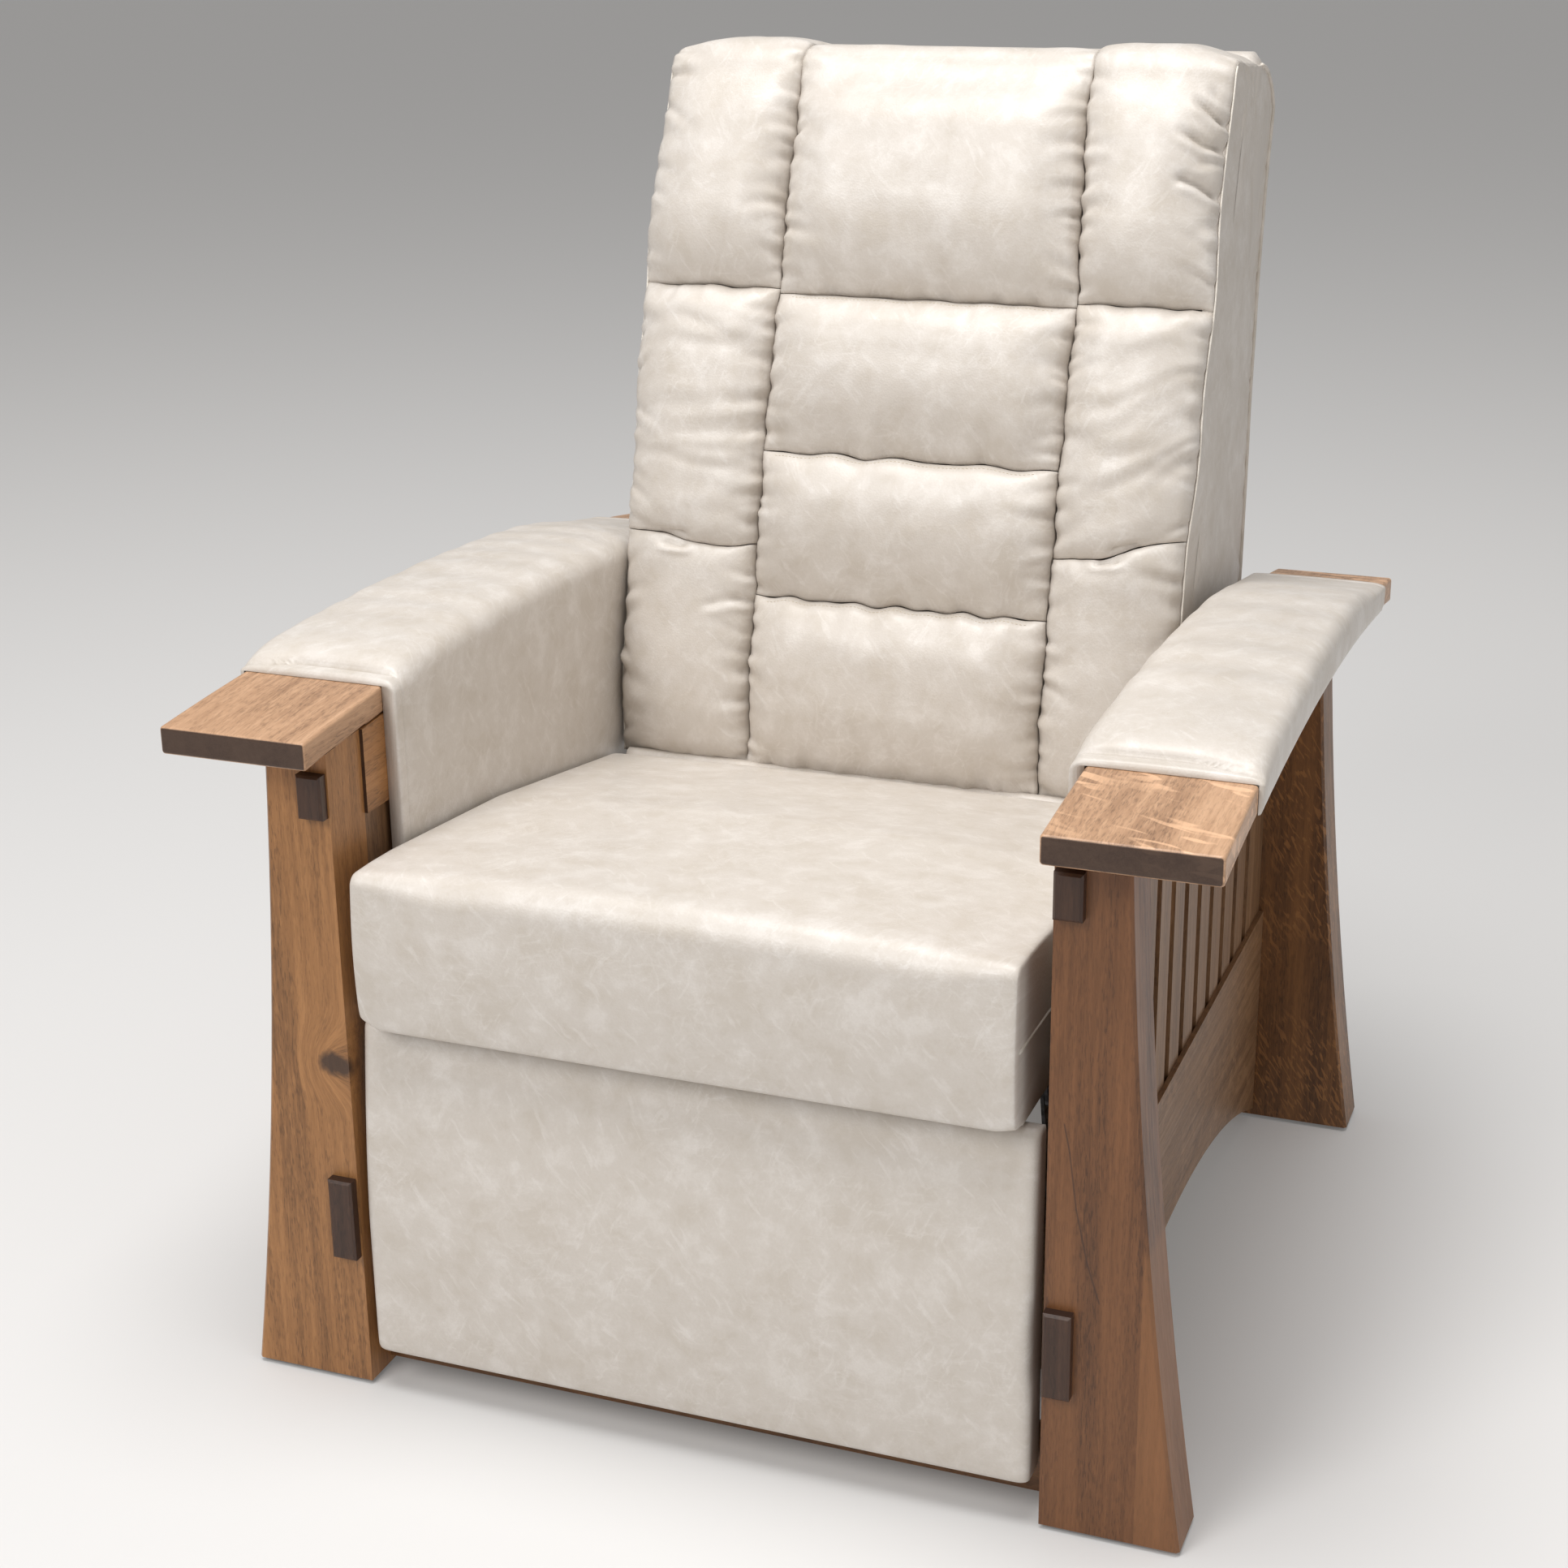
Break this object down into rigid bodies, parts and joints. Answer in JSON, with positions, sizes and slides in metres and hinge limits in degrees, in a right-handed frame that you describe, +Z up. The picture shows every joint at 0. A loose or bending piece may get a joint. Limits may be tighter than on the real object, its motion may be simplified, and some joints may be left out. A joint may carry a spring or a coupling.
{
  "type": "mission reclining armchair",
  "caption": "Oak armchair with flared legs, bowed padded arms, slatted sides, a leather seat and back, and a swing-out footrest.",
  "frame": {"origin": "on the floor, midway across the chair and midway between the front of the arms and the rear of the back", "axes": "+X to the chair's left hand side as a sitter sees it (the viewer's right from the front), +Y to the back, +Z up"},
  "size_m": [0.8444, 0.868, 1.0602],
  "materials": {
    "oak": "stained and waxed",
    "oak_end_grain": "stained end grain",
    "plywood": "raw",
    "leather": "satin",
    "steel": "zinc plated",
    "webbing": "woven",
    "foam": "open cell",
    "nylon": "moulded"
  },
  "bodies": {
    "frame": {"front_leg_left": "oak", "front_leg_right": "oak", "rear_leg_left": "oak", "rear_leg_right": "oak", "tenon_caps": "oak_end_grain", "foot_glides": "nylon", "arm_left": "oak", "arm_right": "oak", "upper_rail_left": "oak", "upper_rail_right": "oak", "lower_rail_left": "oak", "lower_rail_right": "oak", "slats_left": "oak", "slats_right": "oak", "front_stretcher": "oak", "rear_stretcher": "oak", "corner_blocks": "plywood", "inner_board_left": "plywood", "inner_board_right": "plywood", "linkage_rail_left": "plywood", "linkage_rail_right": "plywood", "arm_pad_left": "leather", "arm_pad_right": "leather", "base_plates": "steel", "base_rivets": "steel", "base_screws": "steel"},
    "seat": {"seat_plates": "steel", "seat_rivets": "steel", "seat_screws": "steel", "seat_rail_side_left": "plywood", "seat_rail_side_right": "plywood", "seat_rail_front": "plywood", "seat_rail_rear": "plywood", "seat_straps": "webbing", "seat_cushion": "leather", "seat_border": "leather"},
    "front_swing": {"front_swing_links": "steel"},
    "rear_swing": {"rear_swing_links": "steel"},
    "back": {"back_pads_centre": "leather", "back_pads_side_left": "leather", "back_pads_side_right": "leather", "back_shell": "leather", "back_slab": "foam", "back_side_left": "plywood", "back_side_right": "plywood", "back_rails": "plywood", "back_brackets": "steel", "back_screws": "steel"},
    "upper_link": {"upper_links": "steel", "upper_link_rivets": "steel", "torque_tube": "steel"},
    "rear_link": {"rear_links": "steel", "rear_link_rivets": "steel"},
    "front_link": {"front_links": "steel"},
    "control_link": {"control_links": "steel"},
    "footrest": {"footrest_pad": "leather", "footrest_board": "plywood", "footrest_brackets": "steel", "footrest_rivets": "steel", "footrest_screws": "steel"}
  },
  "joints": [
    {"name": "carriage_swing", "type": "hinge", "parent": "frame", "child": "front_swing", "pos_m": [0, -0.20448, 0.165], "axis": [1, 0, 0], "range_deg": [0, 50]},
    {"name": "carriage_level", "type": "hinge", "parent": "front_swing", "child": "seat", "pos_m": [0, -0.16221, 0.25563], "axis": [-1, 0, 0], "range_deg": [0, 50]},
    {"name": "rear_swing_turn", "type": "hinge", "parent": "frame", "child": "rear_swing", "pos_m": [0, 0.01552, 0.165], "axis": [1, 0, 0], "range_deg": [0, 50]},
    {"name": "back_recline", "type": "hinge", "parent": "seat", "child": "back", "pos_m": [0, 0.10052, 0.38], "axis": [-1, 0, 0], "range_deg": [0, 30]},
    {"name": "footrest_swing", "type": "hinge", "parent": "seat", "child": "upper_link", "pos_m": [0, -0.18156, 0.32143], "axis": [-1, 0, 0], "range_deg": [0, 92]},
    {"name": "rear_link_turn", "type": "hinge", "parent": "seat", "child": "rear_link", "pos_m": [0, -0.12754, 0.29624], "axis": [-1, 0, 0], "range_deg": [0, 92]},
    {"name": "front_link_level", "type": "hinge", "parent": "upper_link", "child": "front_link", "pos_m": [0, -0.1218, 0.08177], "axis": [1, 0, 0], "range_deg": [0, 92]},
    {"name": "control_link_level", "type": "hinge", "parent": "upper_link", "child": "control_link", "pos_m": [0, -0.11213, 0.04296], "axis": [1, 0, 0], "range_deg": [0, 92]},
    {"name": "footrest_turn", "type": "hinge", "parent": "front_link", "child": "footrest", "pos_m": [0, -0.34748, 0.187], "axis": [-1, 0, 0], "range_deg": [0, 92]}
  ],
  "couplings": [
    {"joint": "carriage_level", "follows": "carriage_swing", "ratio": 1},
    {"joint": "rear_swing_turn", "follows": "carriage_swing", "ratio": 1},
    {"joint": "back_recline", "follows": "carriage_swing", "ratio": 0.6},
    {"joint": "rear_link_turn", "follows": "footrest_swing", "ratio": 1},
    {"joint": "front_link_level", "follows": "footrest_swing", "ratio": 1},
    {"joint": "control_link_level", "follows": "footrest_swing", "ratio": 1},
    {"joint": "footrest_turn", "follows": "footrest_swing", "ratio": 1}
  ]
}
